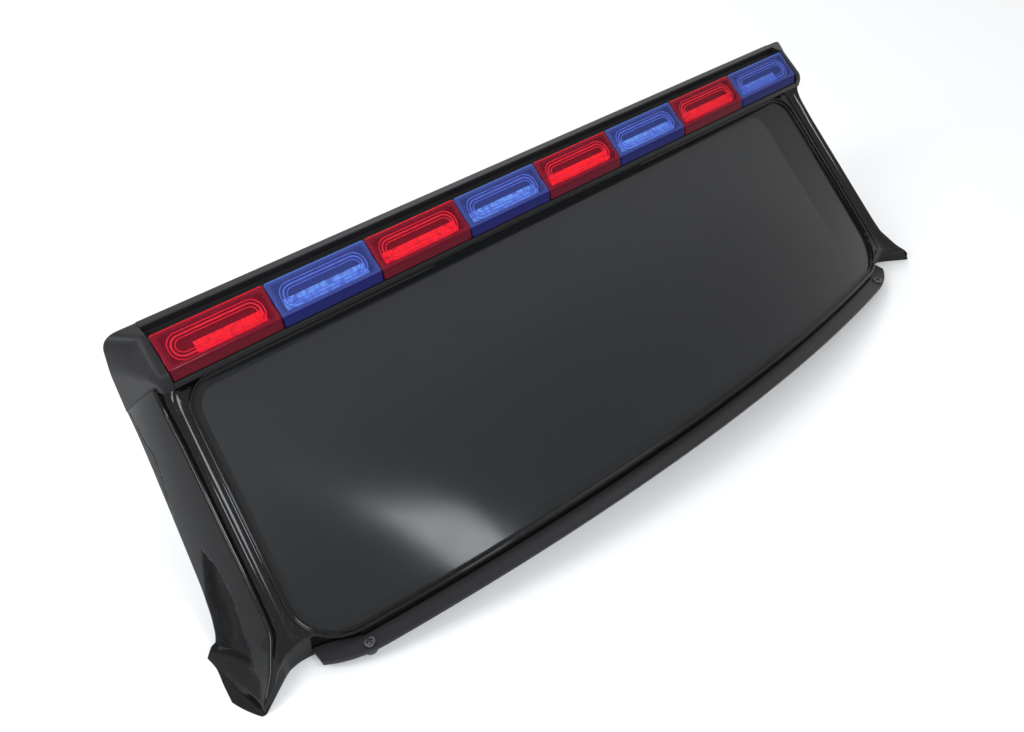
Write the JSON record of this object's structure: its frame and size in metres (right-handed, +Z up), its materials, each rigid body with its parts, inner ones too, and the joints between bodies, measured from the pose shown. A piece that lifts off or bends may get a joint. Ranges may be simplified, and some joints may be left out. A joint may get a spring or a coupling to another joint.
{
  "type": "toy pickup windscreen with light bar",
  "caption": "Raked windscreen from a child's ride-on pickup: smoked pane in a black moulded frame with feet, and a red and blue light bar along its top.",
  "frame": {"origin": "midway between the two flange screws, on the flange's top face", "axes": "+X along the light bar, -Y the way the windscreen faces, +Z up"},
  "size_m": [0.6606, 0.2009, 0.1559],
  "materials": {
    "gloss_black": "moulded, gloss",
    "satin_black": "moulded, satin",
    "smoked_pane": "smoked, polished",
    "lamp_board": "pale board with clear lamps",
    "red_lens": "clear red, polished",
    "blue_lens": "clear blue, polished"
  },
  "bodies": {
    "root": {"windscreen_frame": "gloss_black", "screw_flange": "satin_black", "pane": "smoked_pane", "pane_retainer": "satin_black", "pillar_cover_right": "satin_black", "pillar_cover_left": "satin_black", "header_cover": "satin_black", "bar_housing": "satin_black", "end_cap_right": "satin_black", "end_cap_left": "satin_black", "lens_1": "red_lens", "lens_2": "blue_lens", "lens_3": "red_lens", "lens_4": "blue_lens", "lens_5": "red_lens", "lens_6": "blue_lens", "lens_7": "red_lens", "lens_8": "blue_lens", "led_strip_1": "lamp_board", "led_strip_2": "lamp_board", "led_strip_3": "lamp_board", "led_strip_4": "lamp_board", "led_strip_5": "lamp_board", "led_strip_6": "lamp_board", "led_strip_7": "lamp_board", "led_strip_8": "lamp_board"}
  },
  "joints": []
}
